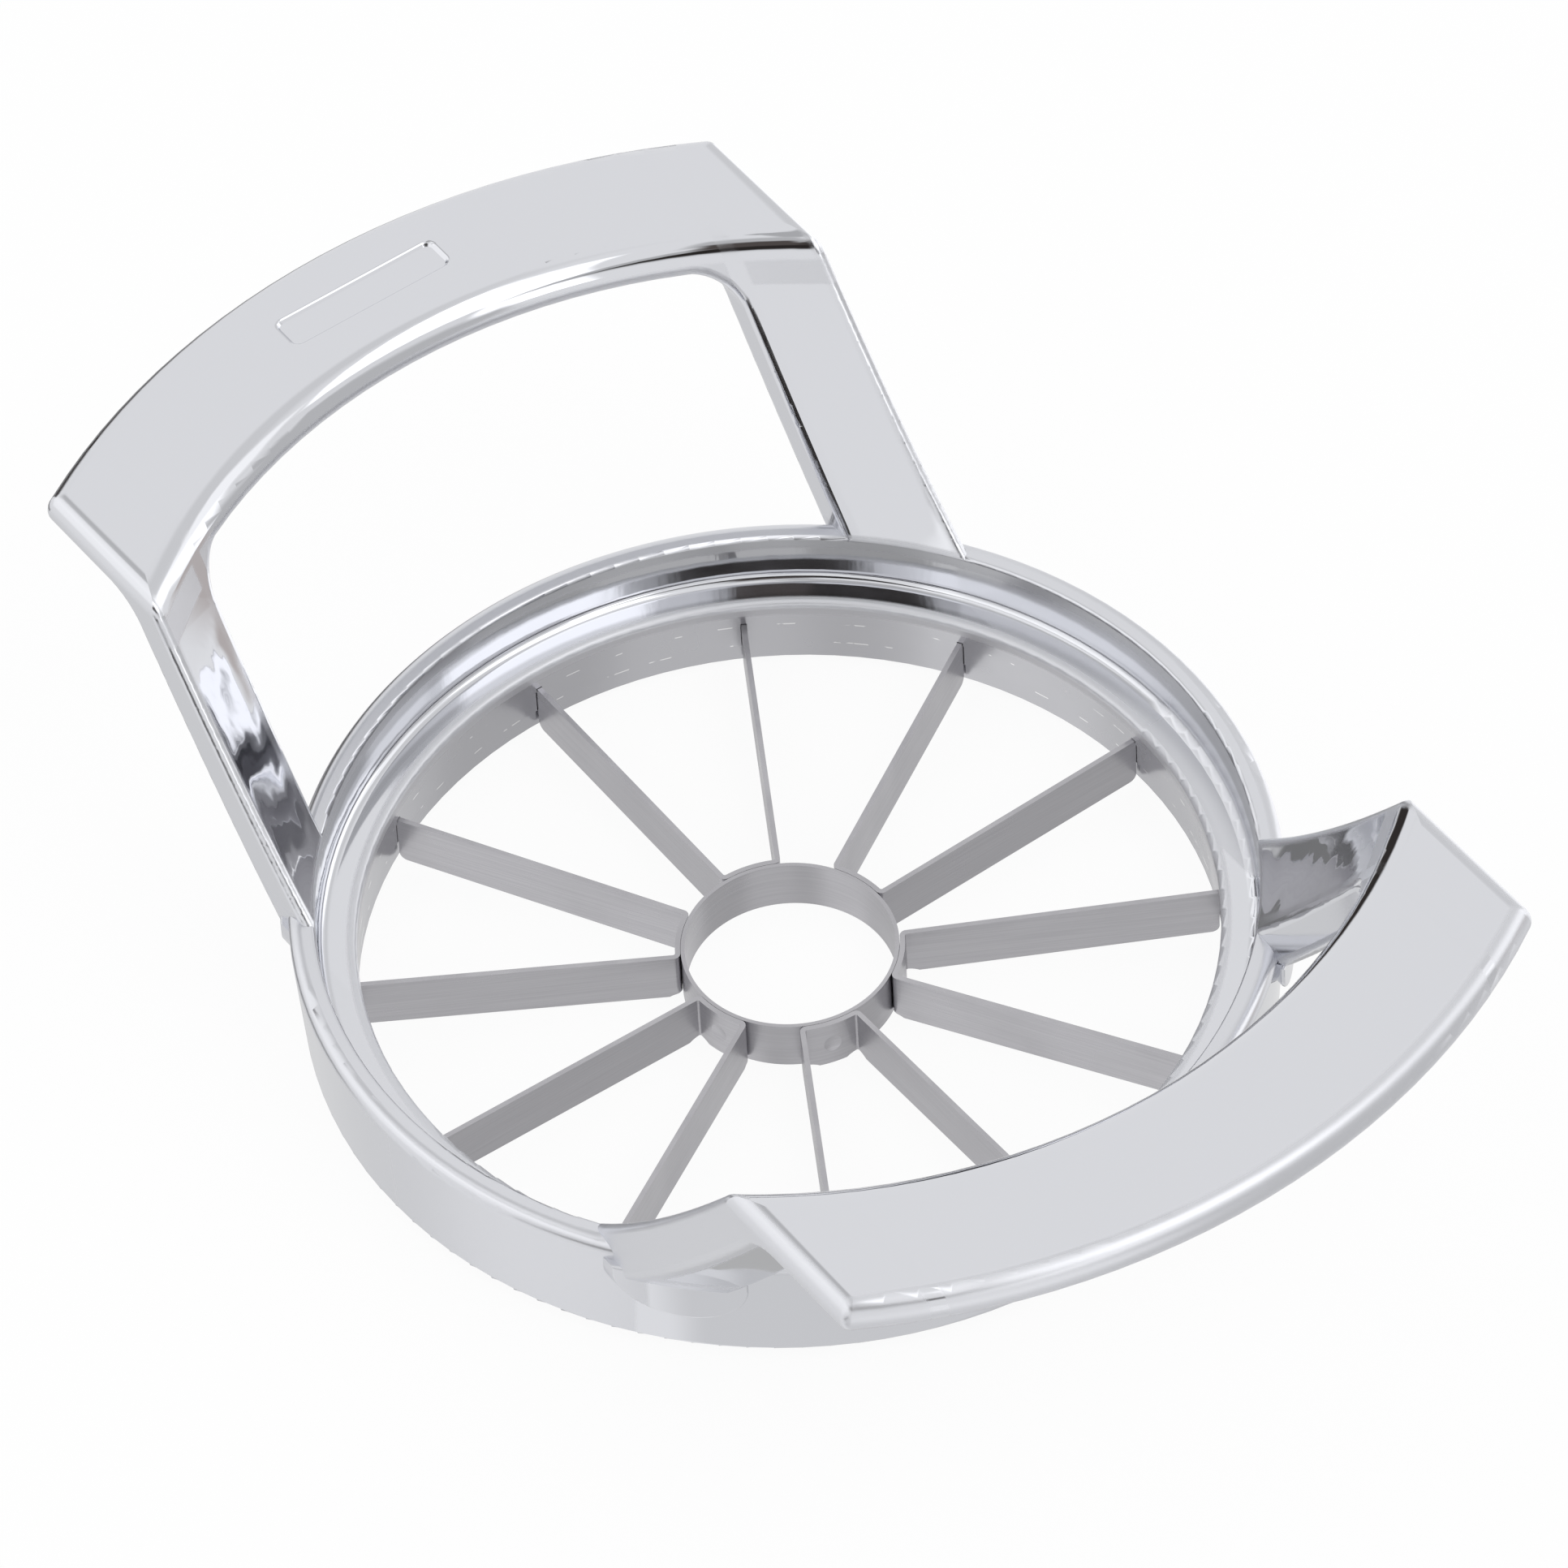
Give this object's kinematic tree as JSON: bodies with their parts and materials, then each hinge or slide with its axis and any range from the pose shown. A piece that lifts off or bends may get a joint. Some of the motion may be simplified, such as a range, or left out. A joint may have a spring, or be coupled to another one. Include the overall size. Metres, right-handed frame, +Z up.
{
  "type": "apple slicer",
  "caption": "Push-down apple slicer and corer: chromed ring with two raised side grips, thin radial blades and a central core tube.",
  "frame": {"origin": "centre of the ring, level with the lower edges of the core ring and the inner blades, the plane it rests on", "axes": "+Z up along the ring's axis, +X towards one grip, +Y along that grip's length"},
  "size_m": [0.178, 0.1124, 0.0478],
  "materials": {
    "chrome_casting": "mirror-polished chrome plate on a zinc die casting",
    "blade_steel": "satin stainless strip"
  },
  "bodies": {
    "root": {"frame": "chrome_casting", "core_ring": "blade_steel", "blade_pair_1": "blade_steel", "blade_pair_2": "blade_steel", "blade_pair_3": "blade_steel", "blade_pair_4": "blade_steel", "blade_pair_5": "blade_steel", "blade_pair_6": "blade_steel"}
  },
  "joints": []
}
